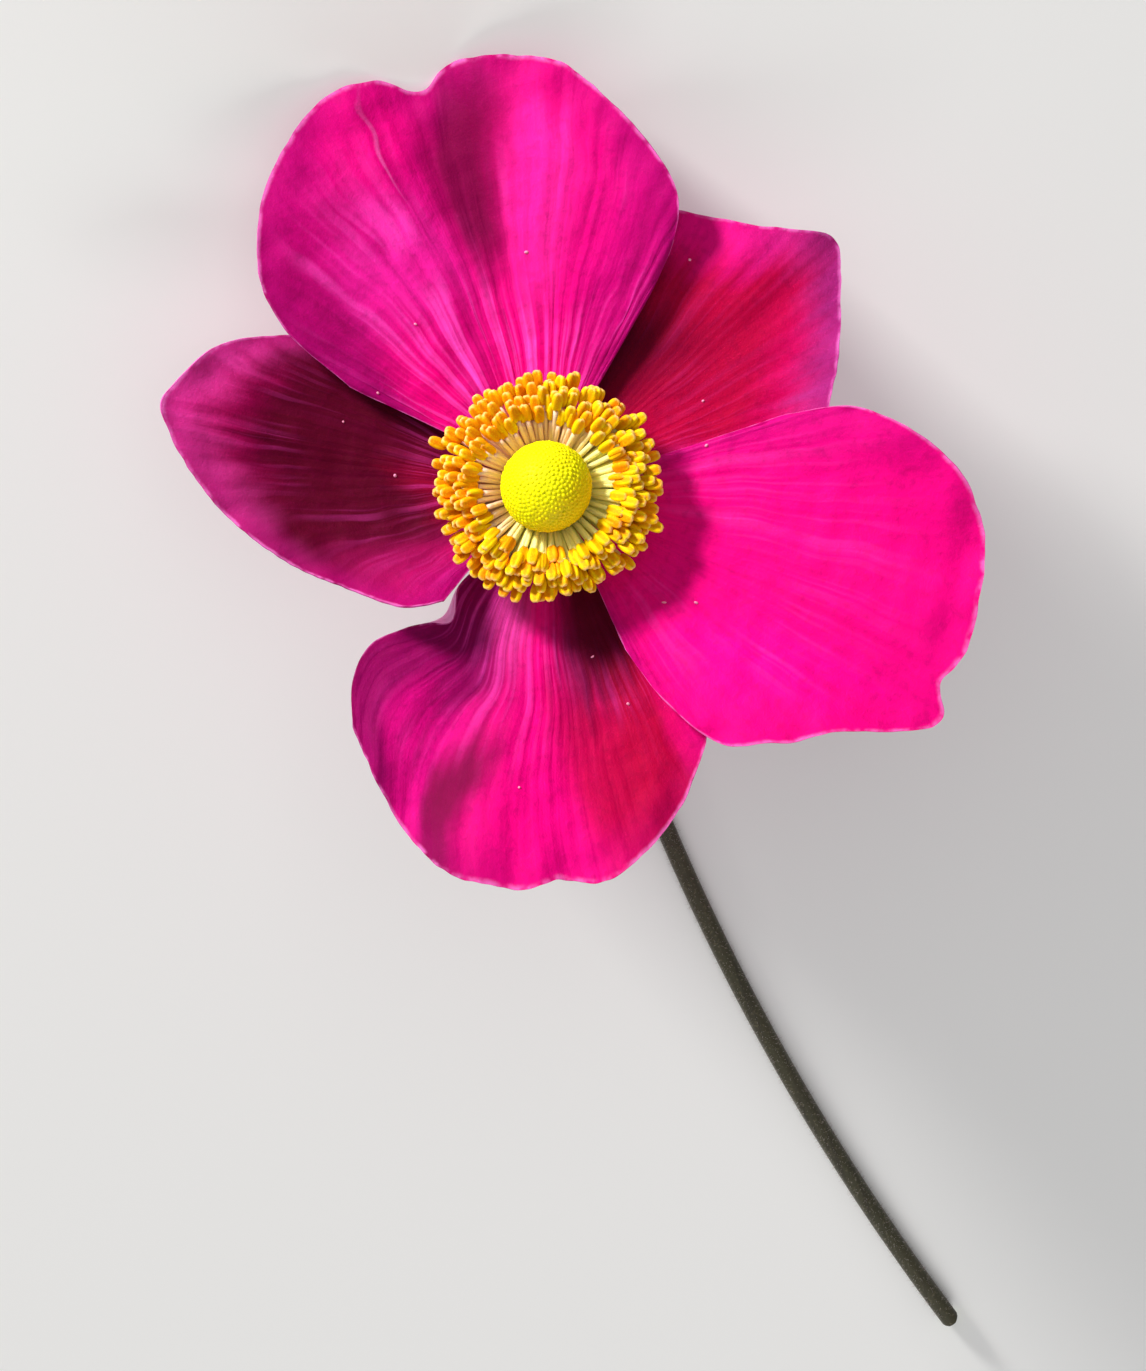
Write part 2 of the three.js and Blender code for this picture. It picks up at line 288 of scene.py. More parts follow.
class Finish:
    """A material and the nodes that give it its look."""

    def __init__(self, name):
        self.material = bpy.data.materials.new(name)
        self.material.use_nodes = True
        self.tree = self.material.node_tree
        self.shader = self.tree.nodes["Principled BSDF"]

    def node(self, kind, settings=None, inputs=None, output=0):
        made = self.tree.nodes.new(kind)
        for key, setting in (settings or {}).items():
            if key == "stops":
                self.set_stops(made.color_ramp, setting)
            else:
                setattr(made, key, setting)
        for key, source in (inputs or {}).items():
            self.feed(made.inputs[key], source)
        return Value(self, made.outputs[output])

    def set_stops(self, ramp, stops):
        for _ in stops[2:]:
            ramp.elements.new(0.5)
        for element, (position, colour) in zip(ramp.elements, stops):
            element.position = position
            element.color = colour

    def feed(self, socket, source):
        if isinstance(source, Value):
            self.tree.links.new(source.socket, socket)
        else:
            socket.default_value = source

    def set(self, **inputs):
        """Sets the shader's own sockets: Base_Color=..., Roughness=..."""
        for name, source in inputs.items():
            self.feed(self.shader.inputs[name.replace("_", " ")], source)

    def place(self):
        return self.node("ShaderNodeTexCoord", output="Object")

    def grown(self):
        """The two directions of a piece's own map, across it and along it."""
        both = self.node("ShaderNodeUVMap")
        across = self.node("ShaderNodeSeparateXYZ", {}, {0: both}, "X")
        along = self.node("ShaderNodeSeparateXYZ", {}, {0: both}, "Y")
        return across, along

    def toward(self, direction):
        """How far a spot lies from the middle of the bloom in a direction, in millimetres."""
        inputs = {0: self.place(), 1: direction}
        along = self.node("ShaderNodeVectorMath", {"operation": "DOT_PRODUCT"}, inputs, "Value")
        return (along - direction.dot(head_centre)) / MM

    def away_from(self, point):
        """How far a spot lies from a point, in millimetres."""
        inputs = {0: self.place(), 1: point}
        return self.node("ShaderNodeVectorMath", {"operation": "DISTANCE"}, inputs, "Value") / MM

    def vector(self, x, y, z=0.0):
        return self.node("ShaderNodeCombineXYZ", {}, {0: x, 1: y, 2: z})

    def noise(self, where, scale, detail=2.0):
        inputs = {"Vector": where, "Scale": scale, "Detail": detail}
        return self.node("ShaderNodeTexNoise", {}, inputs)

    def mix(self, share, first, second):
        return self.node("ShaderNodeMix", {"data_type": "RGBA"}, {0: share, 6: first, 7: second}, 2)

    def ramp(self, along, stops):
        return self.node("ShaderNodeValToRGB", {"stops": stops}, {0: along})

    def bump(self, height, distance, strength=1.0):
        inputs = {"Height": height, "Distance": distance, "Strength": strength}
        self.set(Normal=self.node("ShaderNodeBump", {}, inputs))


# %% [markdown]
# ## The petals: outlines and folds
#
# Each petal has its own outline, read as angles and radii on the face, and its own folds: the top
# one has a trough down its middle, the right one soft pleats, the bottom one a crease and a ridge,
# and the left one is a deep cup. Two petals lie in front and three behind, as they opened. The left
# flank of the bottom one also rolls over at its edge, and shows its pale back there.
#
# Colours are laid on in soft strokes that follow the veins. Tones run across a petal, from the
# first point of its outline at 0 to the last at 1. Patches lie under the pale streaks, and folds
# and painted light over them: painted shade in the top petal's trough and the bottom petal's
# crease, the painted shadows that the top petal casts on the upper right one and the stamens on
# the bottom one, and a painted highlight beside the trough. Both are lists of strokes: the middle
# across the petal, the lean, the half width, the start and the end between claw at 0 and margin
# at 1, the paint, and how much of it there is. Some tones are painted shade as well: the wine of
# the left petal's cup and of the upper right petal's side next to the top one. The last lines of
# a petal say how strong its streaks, veins and edge are, and its pleats if not 1.

# %% The five petals
SAUCER = 0.0035  # how fast the whole face curves up
CLAW_RADIUS = 1.9
CLAW_SPREAD = 30  # degrees to either side of the petal's own middle
OUTER_DROP = 0.95  # how far the outer petals lie behind the inner ones at the claw
OUTER_FLARE = 0.03  # and how much further with each millimetre outward

PINK = tint(241, 0, 128)
MAGENTA = tint(204, 2, 118)
VIOLET = tint(162, 3, 100)
# Deep red: partly the petals' own colour, partly painted shade where they lie in shade.
CRIMSON = tint(178, 0, 58)
# Painted shade: the shadows that the top petal and the stamens cast, and the shade in the left petal's
# cup.
PAINTED_SHADE_WINE = tint(80, 0, 28)
# Lilac: the margins' own paler colour, and a painted highlight where rims catch the light.
LILAC = tint(240, 120, 205)
# Pale streaks: partly the petals' own, partly a painted pearly highlight.
STREAK = tint(255, 72, 192)
# Dark magenta of the veins, and painted shade in the top petal's trough and the bottom petal's crease.
DEEP = tint(104, 0, 52)
PLUM = tint(138, 1, 84)

PETALS = [
    {
        "name": "petal_top",
        "axis": 107,
        "margin": [
            (62, 15.5), (62.5, 21), (66, 25), (73, 27.8), (79, 29.8), (85, 32.2), (90, 33.4),
            (97, 33.9), (103, 33.9), (108, 32.4), (113, 34.5), (120, 34.9), (128, 33.4),
            (136, 30.8), (143, 28), (149, 23.6), (153, 17),
        ],
        "relief": lambda along, across: (
            0.006 * across ** 2
            - 1.3 * ridge(across, 3.6) * rise(along, 10, 26)
            - 0.012 * beyond(along, 20) ** 2
        ),
        "tones": [(0.0, VIOLET), (0.2, MAGENTA), (0.38, PINK), (0.66, MAGENTA), (0.95, VIOLET)],
        "patches": [
            (0.42, 0, 0.24, 0.0, 0.5, PINK, 0.8), (0.9, 0, 0.22, 0.1, 0.66, PINK, 0.8),
            (0.64, 0, 0.07, 0.66, 1.2, PINK, 0.7), (0.72, 0, 0.14, 0.36, 0.82, tint(252, 34, 168), 0.8),
            # The last patch is a painted highlight beside the trough's right edge.
            (0.37, 0, 0.08, 0.3, 1.0, tint(255, 44, 166), 0.6),
        ],
        "folds_and_painted_light": [
            # Painted shade down the trough, a painted highlight along its right edge, and a thin lilac
            # line.
            (0.5, 0, 0.09, 0.38, 1.15, DEEP, 0.9), (0.395, 0, 0.035, 0.36, 0.98, tint(252, 30, 156), 0.7),
            (0.645, 0, 0.003, 0.62, 1.05, LILAC, 0.4),
        ],
        "streaks": 0.95,
        "veins": 1.0,
        "edge": 0.5,
    },
    {
        "name": "petal_right",
        "axis": -23,
        "margin": [
            (-64, 14), (-61, 19), (-56, 24), (-47, 27.2), (-40, 29.6), (-35, 33.2), (-30.5, 35.8),
            (-26.5, 34.4), (-21, 35.1), (-14, 34.8), (-6, 34.4), (2, 32.2), (9.5, 28.3),
            (15, 24.4), (17, 19.5),
        ],
        "relief": lambda along, across: (
            0.004 * across ** 2
            + 0.8 * np.sin(0.42 * across + 0.6) * rise(along, 16, 34)
            - 0.01 * beyond(along, 20) ** 2
        ),
        "tones": [(0.0, MAGENTA), (0.12, PINK), (0.76, PINK), (0.94, MAGENTA)],
        "patches": [(0.3, 0, 0.16, 0.4, 0.95, tint(255, 0, 152), 0.7)],
        "folds_and_painted_light": [],
        "streaks": 0.28,
        "veins": 0.4,
        "edge": 0.12,
    },
    {
        "name": "petal_upper_right",
        "axis": 42,
        "outer": True,
        "margin": [
            (8, 19.5), (12, 22.3), (19, 23.6), (26, 25.6), (33.5, 27.6), (40.7, 29.8),
            (46, 28.1), (53, 25.8), (60, 24.6), (67, 23.4), (73, 20), (75, 14.5),
        ],
        "relief": lambda along, across: (
            0.35 * np.sin(0.5 * across) * rise(along, 14, 28) - 0.02 * beyond(along, 19) ** 2
        ),
        # Wine dark beside the top petal: painted shade, where the top petal's shadow falls.
        "tones": [(0.0, MAGENTA), (0.2, CRIMSON), (0.7, CRIMSON), (0.9, PAINTED_SHADE_WINE)],
        "patches": [
            (0.68, 0, 0.22, 0.72, 1.3, tint(255, 8, 142), 0.95),
            (0.25, 0, 0.2, 0.62, 1.1, tint(226, 0, 112), 0.55),
            (0.29, 0, 0.36, 0.77, 1.4, tint(172, 44, 132), 1.0),
        ],
        # The painted shadow that the top petal casts on this one.
        "folds_and_painted_light": [(0.98, 0, 0.56, 0.0, 0.74, PAINTED_SHADE_WINE, 0.95)],
        "streaks": 0.15,
        "veins": 0.25,
        "pleats": 0.35,
        "edge": 0.3,
    },
    {
        "name": "petal_left",
        "axis": 180,
        "outer": True,
        "margin": [
            (141, 12), (143, 17.5), (147, 21.5), (151.5, 24.8), (156, 27.6), (161, 29.2),
            (167.5, 30.7), (171.5, 29.6), (178, 27.6), (186, 24.6), (194, 21.8), (203, 18.6),
            (213, 16), (221, 14.3), (228, 12),
        ],
        "relief": lambda along, across: (
            0.05 * beyond(across, 0) ** 2 + 0.008 * beyond(along, 14) ** 2
        ),
        # The wine dark cup is painted shade: the top petal shades it and the cup turns away from the
        # light.
        "tones": [(0.0, MAGENTA), (0.12, PAINTED_SHADE_WINE), (0.72, PAINTED_SHADE_WINE), (0.88, tint(166, 6, 90)), (1.0, VIOLET)],
        "patches": [
            (0.42, 0, 0.22, 0.7, 1.4, tint(190, 0, 98), 0.9),
            (0.42, 0, 0.3, 0.79, 1.5, tint(240, 72, 174), 0.9),
            (0.75, 0, 0.4, 0.0, 0.45, CRIMSON, 0.6), (0.95, 0, 0.12, 0.15, 0.6, tint(222, 0, 92), 0.7),
        ],
        "folds_and_painted_light": [],
        "streaks": 0.32,
        "veins": 0.6,
        "edge": 0.6,
    },
    {
        "name": "petal_bottom",
        "axis": 267,
        "outer": True,
        "margin": [
            (231, 24), (237, 25.6), (244, 27.8), (251, 29.9), (258, 31.2), (266, 31.4),
            (271.5, 30.7), (277, 31.1), (283, 30.2), (290, 28), (297, 25.4), (304, 22.5),
            (309, 18.5),
        ],
        "flank": [
            (237, 1.9), (232.5, 4.7), (229, 7.4), (228.4, 10.2), (231.6, 12.9), (224.6, 15.6),
            (221.6, 18.4), (224.8, 21.3), (231, 24),
        ],
        "roll": math.radians(165),
        "relief": lambda along, across: (
            (0.9 * ridge(across + 0.1 * along, 2.6) - 1.1 * ridge(across + 0.36 * along, 2.4))
            * rise(along, 8, 24)
            - 0.01 * beyond(-across, 8) ** 2
        ),
        "tones": [(0.0, PLUM), (0.24, PLUM), (0.42, PINK), (0.58, PINK), (0.74, CRIMSON)],
        "patches": [
            (0.3, 0, 0.12, 0.1, 0.5, tint(214, 62, 152), 0.8),
            (0.235, -0.2, 0.05, 0.5, 1.15, tint(232, 8, 138), 0.8),
            (0.93, 0, 0.08, 0.5, 1.2, PINK, 0.8),
            (0.19, 0.1, 0.06, 0.5, 1.2, tint(228, 6, 134), 0.75),
        ],
        "folds_and_painted_light": [
            # A crimson stroke, partly painted shade; painted shade in the crease; and the painted shadow
            # that the stamens cast beside the claw.
            (0.68, 0.4, 0.14, 0.36, 1.1, CRIMSON, 0.8),
            (0.319, -0.2, 0.045, 0.55, 1.4, DEEP, 0.85), (0.75, 0, 0.25, 0.0, 0.68, PAINTED_SHADE_WINE, 0.95),
        ],
        "streaks": 0.5,
        "veins": 0.7,
        "edge": 0.3,
    },
]


# %% [markdown]
# ## The petals: from a grid to a blade
#
# A petal could be a plane cut to shape, but its veins run out from the claw like the ribs of a fan,
# and a grid that does the same lets every fold follow them. So a flat grid is added, one side of
# it is drawn in to the claw and the far side is laid along the margin, and each point is lifted to
# the petal's folds. Solidify then gives the blade its thickness, thinner towards the margin.


# %% Lay a grid on a petal
GRID_ACROSS = 190
GRID_ALONG = 90
BLADE = 0.34  # thickness of the blade
MARGIN_SHARE = 0.45  # of which this much is left at the margin
MARGIN_WAVES = [(0.1, 3.4), (0.035, 1.1)]  # height and shortest length of its unevenness
VEINS = 26
VEIN_HEIGHT = 0.035
VEIN_DRIFT = 0.35
PLEAT_HEIGHT = 0.2
CRINKLE_HEIGHT = 0.2
DIMPLE_HEIGHT = 0.05
ROLL_PLACE = 0.465  # middle of the rolled edge, between claw and margin
ROLL_SPREAD = 0.12
ROLL_COLUMNS = 11  # columns of the grid that roll over


def on_face(degrees, radius):
    turn = np.radians(degrees)
    return np.stack([radius * np.cos(turn), radius * np.sin(turn)], axis=-1)


def smooth_curve(outline, share):
    """Points on the smooth curve through the outline, with share 0 at its start and 1 at its end."""
    points = on_face(*np.array(outline, float).T)
    points = np.vstack([2 * points[0] - points[1], points, 2 * points[-1] - points[-2]])
    steps = len(outline) - 1
    first = np.minimum((share * steps).astype(int), steps - 1)
    t = (share * steps - first)[:, None]
    before, start, end, after = (points[first + k] for k in range(4))
    slope_in, slope_out = (end - before) / 2, (after - start) / 2
    return (
        (2 * t ** 3 - 3 * t ** 2 + 1) * start
        + (t ** 3 - 2 * t ** 2 + t) * slope_in
        + (3 * t ** 2 - 2 * t ** 3) * end
        + (t ** 3 - t ** 2) * slope_out
    )


def fold_height(petal, x, y):
    """The petal's middle surface above the receptacle, as its plain solid has it."""
    turn = np.arctan2(y, x) - math.radians(petal["axis"])
    radius = np.hypot(x, y)
    behind = OUTER_DROP + OUTER_FLARE * radius if petal.get("outer") else 0
    return SAUCER * radius ** 2 - behind + petal["relief"](radius * np.cos(turn), radius * np.sin(turn))


def fine_height(petal, seed, across, along, x, y):
    """What the plain solid leaves out: veins, fine pleats, a crinkled margin and faint dimples."""
    turns = VEINS * across + VEIN_DRIFT * wander(seed, x, y, 16)
    veins = VEIN_HEIGHT * petal["veins"] * np.cos(2 * math.pi * turns) * rise(along, 0.12, 0.4)
    pleat_height = PLEAT_HEIGHT * petal.get("pleats", 1)
    pleats = pleat_height * wander(seed + 1, 34 * across, 4 * along, 3.5) * rise(along, 0.4, 1)
    crinkle = CRINKLE_HEIGHT * wander(seed + 2, x, y, 3.2) * rise(along, 0.8, 1)
    return veins + pleats + crinkle + DIMPLE_HEIGHT * wander(seed + 3, x, y, 2.2)


def roll_flank(petal, spots, along):
    """Rolls the flank's edge up and over towards the middle, so that its pale back shows."""
    rows = spots.reshape(GRID_ALONG + 1, GRID_ACROSS + 1, 3)
    strength = ridge(along.reshape(rows.shape[:2])[:, 0] - ROLL_PLACE, ROLL_SPREAD)
    turn = np.maximum(petal["roll"] * strength, 0.001)
    fold = rows[:, ROLL_COLUMNS].copy()
    out = rows[:, 0] - fold
    width = np.hypot(out[:, 0], out[:, 1])
    radius = width / np.sin(np.minimum(turn, math.pi / 2))
    for column in range(ROLL_COLUMNS):
        angle = turn * (1 - column / ROLL_COLUMNS)
        reach = radius * np.sin(angle) / width
        level = (rows[:, column, 2] - fold[:, 2]) * (1 - strength)
        rows[:, column, :2] = fold[:, :2] + out[:, :2] * reach[:, None]
        rows[:, column, 2] = fold[:, 2] + level + radius * (1 - np.cos(angle))


def grow_petal(petal, seed):
    """The blade, one face thick, and each point's place across it and along it."""
    bpy.ops.object.select_all(action="DESELECT")
    bpy.ops.mesh.primitive_grid_add(
        x_subdivisions=GRID_ACROSS, y_subdivisions=GRID_ALONG, size=1, calc_uvs=True,
    )
    piece = start_piece(petal["name"] + "_blade")
    flat = read_points(piece.data)
    across, along = flat[:, 0] + 0.5, flat[:, 1] + 0.5
    margin = smooth_curve(petal["margin"], across)
    uneven = sum(
        height * wander(seed + 4 + number, *margin.T, length)
        for number, (height, length) in enumerate(MARGIN_WAVES)
    )
    margin *= (1 + uneven / np.hypot(*margin.T))[:, None]
    claw = [on_face(petal["axis"] + side, CLAW_RADIUS) for side in (-CLAW_SPREAD, CLAW_SPREAD)]
    foot = claw[0] + across[:, None] * (claw[1] - claw[0])
    spots = foot + along[:, None] * (margin - foot)
    if "flank" in petal:
        corner = smooth_curve(petal["margin"], np.zeros(1))
        straight = claw[0] + along[:, None] * (corner - claw[0])
        spots += (1 - across[:, None]) ** 2 * (smooth_curve(petal["flank"], along) - straight)
    x, y = spots.T
    height = fold_height(petal, x, y) + fine_height(petal, seed, across, along, x, y)
    spots = np.stack([x, y, height], axis=1)
    if "roll" in petal:
        roll_flank(petal, spots, along)
    write_points(piece.data, spots)
    piece.data.transform(FACE_TO_FRAME)
    piece.data.flip_normals()
    return piece, across, along


def give_thickness(piece, across, along):
    """Solidify makes the back of the blade and its rim, in the second material."""
    rim = rise(along, 0.9, 1)
    sides = np.maximum(rise(across, 0.96, 1), 1 - rise(across, 0, 0.04))
    thin = 1 - np.maximum(rim, sides * rise(along, 0.1, 0.3))
    group = piece.vertex_groups.new(name="thick")
    for index, weight in enumerate(thin):
        group.add([index], float(weight), "REPLACE")
    solidify = piece.modifiers.new("thickness", "SOLIDIFY")
    solidify.thickness = BLADE * MM
    solidify.offset = 0
    solidify.vertex_group = "thick"
    solidify.thickness_vertex_group = MARGIN_SHARE
    solidify.material_offset = 1
    apply_modifiers(piece)
    piece.vertex_groups.clear()
    resting = read_points(piece.data)
    resting[:, 2] = np.maximum(resting[:, 2], 0)
    write_points(piece.data, resting)
    bpy.ops.object.shade_smooth_by_angle(angle=math.radians(50))


# %% [markdown]
# ## The petals: velvet, veins and margins
#
# The inner face is a deep, velvety magenta. Long pale streaks and darker veins fan out from the
# claw, so they are drawn in the petal's own map, where one direction runs across it and the other
# from claw to margin. The pale streaks are partly the petal's own and partly a painted pearly
# highlight. The thin margin is paler and more lilac, partly its own colour and partly a painted
# highlight where the rim catches the light, and a faint grain breaks up the whole. The backs are
# duller and silkier.

# %% Petal finishes
LEAN_PIVOT = 0.8  # where between claw and margin a leaning stroke is at its stated middle
BROAD_STREAKS = 30
FINE_STREAKS = 74
SILK_LINES = 110


def petal_front(petal, seed):
    finish = Finish(petal["name"] + "_front")
    across, along = finish.grown()
    place = finish.place()
    bend = finish.noise(finish.vector(across, along, seed), 3.0) - 0.5
    fan = across + bend * 0.06
    ragged = finish.noise(finish.vector(fan * 24, along * 2, seed), 1.0, 3.0) - 0.5
    tone = across + bend * 0.14 + ragged * 0.05
    further = along + ragged * 0.25

    def painted(colour, strokes):
        for centre, lean, width, start, end, paint, amount in strokes:
            where = tone - (along - LEAN_PIVOT) * lean if lean else tone
            beside = 1 - (where.far_from(centre) / width).rise(0.25, 1.25)
            inside = further.rise(start, start + 0.25) * (1 - further.rise(end - 0.25, end))
            colour = finish.mix(beside * inside * amount, colour, paint)
        return colour

    colour = painted(finish.ramp(tone, petal["tones"]), petal["patches"])
    vein = finish.noise(finish.vector(fan * BROAD_STREAKS, along * 0.9, seed + 3.0), 1.0, 2.0)
    fine = finish.noise(finish.vector(fan * FINE_STREAKS, along * 1.8, seed + 7.0), 1.0, 1.0)
    patchy = finish.noise(place, 110.0).rise(0.35, 0.62)
    inward = 1 - along.rise(0.45, 1.0)
    # Pale streaks, partly the petal's own and partly a painted pearly highlight.
    pale = vein.rise(0.5, 0.66) * 0.7 + fine.rise(0.52, 0.68) * 0.5
    colour = finish.mix(pale * inward * patchy * petal["streaks"], colour, STREAK)
    # Then painted shade, painted shadows and painted highlights go over the streaks.
    colour = painted(colour, petal["folds_and_painted_light"])
    dark = (1 - vein).rise(0.5, 0.7) * 0.3 + (1 - fine).rise(0.5, 0.7) * 0.18
    colour = finish.mix(dark * (1 - along.rise(0.4, 1.0) * 0.5) * petal["veins"], colour, DEEP)
    velvet = finish.noise(place, 1500.0, 3.0)
    colour = finish.mix(velvet.rise(0.45, 0.75) * 0.2, colour, DEEP)

    edge = finish.noise(place, 900.0, 2.0)
    colour = finish.mix(along.rise(0.84, 1.0) * petal["edge"], colour, VIOLET)
    # A lilac line along the rim and flanks: partly the margin's own colour, partly a painted highlight
    # where the edge catches the light.
    rim = (along + edge * 0.01).rise(0.99, 1.004)
    flanks = (across.far_from(0.5) + edge * 0.006).rise(0.499, 0.504) * along.rise(0.2, 0.5)
    colour = finish.mix(rim.most(flanks) * edge.rise(0.3, 0.6) * 0.6, colour, LILAC)

    grain = finish.noise(place, 7000.0, 2.0)
    finish.set(
        Base_Color=colour,
        Roughness=0.55 + 0.2 * grain,
        Specular_IOR_Level=0.05,
        Sheen_Weight=0.06,
        Sheen_Roughness=0.4,
        Sheen_Tint=tint(255, 20, 160),
        Subsurface_Weight=0.1,
        Subsurface_Radius=(1.0, 0.1, 0.4),
        Subsurface_Scale=0.0006,
    )
    relief = (vein * 0.7 + fine * 0.45) * petal["veins"] + velvet * 0.3 + grain * 0.15
    finish.bump(relief, 0.00022)
    return finish.material


def petal_back(petal, seed):
    finish = Finish(petal["name"] + "_back")
    across, along = finish.grown()
    place = finish.place()
    silk = finish.noise(finish.vector(across * SILK_LINES, along * 5.0, seed), 1.0, 3.0)
    vein = (across * VEINS * 2 * math.pi).wave().rise(0.72, 1.0) * (1 - along.rise(0.5, 1.0))
    mottle = finish.noise(place, 180.0, 3.0)
    colour = finish.mix(mottle, tint(176, 30, 108), tint(206, 66, 146))
    colour = finish.mix(silk.rise(0.45, 0.8) * 0.5, colour, tint(226, 140, 196))
    colour = finish.mix(vein * 0.45, colour, tint(110, 12, 66))
    colour = finish.mix(1 - along.rise(0.05, 0.3), colour, tint(150, 110, 96))
    if "roll" in petal:
        pale = (1 - across.rise(0.03, 0.07)) * (1 - (along.far_from(ROLL_PLACE) / ROLL_SPREAD).rise(1, 2))
        colour = finish.mix(pale * 0.95, colour, tint(255, 172, 232))
    finish.set(
        Base_Color=colour,
        Roughness=0.6,
        Specular_IOR_Level=0.25,
        Sheen_Weight=0.45,
        Sheen_Roughness=0.4,
        Sheen_Tint=tint(255, 200, 230),
        Subsurface_Weight=0.12,
        Subsurface_Radius=(1.0, 0.15, 0.4),
        Subsurface_Scale=0.0008,
    )
    finish.bump(silk + vein * 0.6, 0.00008, 0.8)
    return finish.material


# %% Grow the five petals
petal_spots = []  # places well inside each petal, for the pollen
for number, petal in enumerate(PETALS):
    seed = 11 + 10 * number
    blade, across, along = grow_petal(petal, seed)
    petal_spots.append(read_points(blade.data)[(along > 0.34) & (along < 0.9) & (across > 0.1)])
    blade.data.materials.append(petal_front(petal, seed))
    blade.data.materials.append(petal_back(petal, seed))
    give_thickness(blade, across, along)
    finish_piece(blade, "petal", petal["name"])

# %% [markdown]
# ## The head of carpels
#
# The middle of the flower is a ball of tiny carpels, each with a blunt tip, packed in the spiral
# that a sunflower's seeds follow too. One carpel is modelled as a small blunt cone and copied to
# every place on the spiral above the ball's flat seat, over a smooth core that closes the ball.

# %% Carpel head
CARPELS = 1150  # places on the whole ball
CARPEL_RADIUS = 0.2
CARPEL_STANDS = 0.15  # how far a carpel's foot lies inside the ball's outline
CORE_SWELL = 0.04  # how far the core swells past the carpels' feet
HEAD_SEAT = 2.4  # where the ball is cut flat, above the receptacle
GOLDEN = math.pi * (3 - math.sqrt(5))


def carpel_finish():
    finish = Finish("carpel_head_lime")
    place = finish.place()
    warm = finish.noise(place, 420.0, 2.0)
    each = finish.noise(place, 2600.0, 1.0)
    colour = finish.mix(warm, tint(236, 238, 0), tint(250, 236, 0))
    # The side away from the key lamp is painted a deeper gold: painted shade.
    shaded_side = (finish.toward(face_direction(-42)) + warm * 2).rise(1.2, 4.2)
    colour = finish.mix(shaded_side, colour, tint(255, 218, 0))
    colour = finish.mix(each.rise(0.55, 0.75) * 0.4, colour, tint(206, 200, 8))
    finish.set(
        Base_Color=colour,
        Roughness=0.55,
        Specular_IOR_Level=0.12,
        Subsurface_Weight=0.25,
        Subsurface_Radius=(1.0, 0.8, 0.1),
        Subsurface_Scale=0.0004,
    )
    finish.bump(each, 0.00003, 0.6)
    return finish.material


def carpel_template(material):
    """A six-sided bump, a millimetre unit pointing up Z, with its tip drawn in twice."""
    bpy.ops.object.select_all(action="DESELECT")
    bpy.ops.mesh.primitive_circle_add(vertices=6, radius=CARPEL_RADIUS, fill_type="NGON")
    carpel = start_piece("carpel")
    bpy.ops.object.mode_set(mode="EDIT")
    for lift, narrow in ((0.08, 0.86), (0.06, 0.5)):
        bpy.ops.mesh.extrude_region_move(TRANSFORM_OT_translate={"value": (0, 0, lift)})
        bpy.ops.transform.resize(value=(narrow, narrow, 1))
    bpy.ops.mesh.poke(offset=0.02)
    bpy.ops.object.mode_set(mode="OBJECT")
    bpy.ops.object.shade_smooth()
    carpel.data.materials.append(material)
    return carpel


def carpel_places():
    draw = np.random.default_rng(3)
    places = []
    for number in range(CARPELS):
        z = 1 - 2 * (number + 0.5) / CARPELS
        flat = math.sqrt(1 - z * z)
        outward = Vector((flat * math.cos(number * GOLDEN), flat * math.sin(number * GOLDEN), z))
        level = HEAD_RADIUS - CARPEL_STANDS + draw.uniform(-0.06, 0.0)
        stand = HEAD_RISE * Vector((0, 0, 1)) + outward * level
        if stand.z < HEAD_SEAT + CARPEL_RADIUS:
            continue
        turn = outward.to_track_quat("Z", "Y").to_matrix().to_4x4()
        size = Matrix.Scale(draw.uniform(0.8, 1.05), 4)
        places.append(FACE_TO_FRAME @ Matrix.Translation(stand) @ turn @ size)
    return places


def carpel_core(material):
    bpy.ops.object.select_all(action="DESELECT")
    core_radius = HEAD_RADIUS - CARPEL_STANDS + CORE_SWELL
    bpy.ops.mesh.primitive_ico_sphere_add(subdivisions=4, radius=core_radius)
    core = start_piece("carpel_core")
    core.data.transform(Matrix.Translation((0, 0, HEAD_RISE)))
    bpy.ops.object.mode_set(mode="EDIT")
    bpy.ops.mesh.select_all(action="SELECT")
    bpy.ops.mesh.bisect(
        plane_co=(0, 0, HEAD_SEAT), plane_no=(0, 0, -1), clear_outer=True, use_fill=True,
    )
    bpy.ops.object.mode_set(mode="OBJECT")
    core.data.transform(FACE_TO_FRAME)
    bpy.ops.object.shade_smooth_by_angle(angle=math.radians(50))
    core.data.materials.append(material)
    return core


lime = carpel_finish()
tips = copies_of(carpel_template(lime), carpel_places(), "carpel_tips")
head = join_into(carpel_core(lime), tips)
head.name = "carpel_dome"
finish_piece(head, "carpel_head", "carpel_head")

# %% [markdown]
# ## The stamens
#
# Nearly three hundred stamens stand round the head in whorls, rooted one below the other on the
# receptacle's ring, and a few stray ones reach further out. Each has a slender pale filament and a
# plump golden anther with a groove down it. One is modelled straight, a small ring extruded along
# its length with a blunt, grooved ball at its end, and each copy is bent along its own arc.

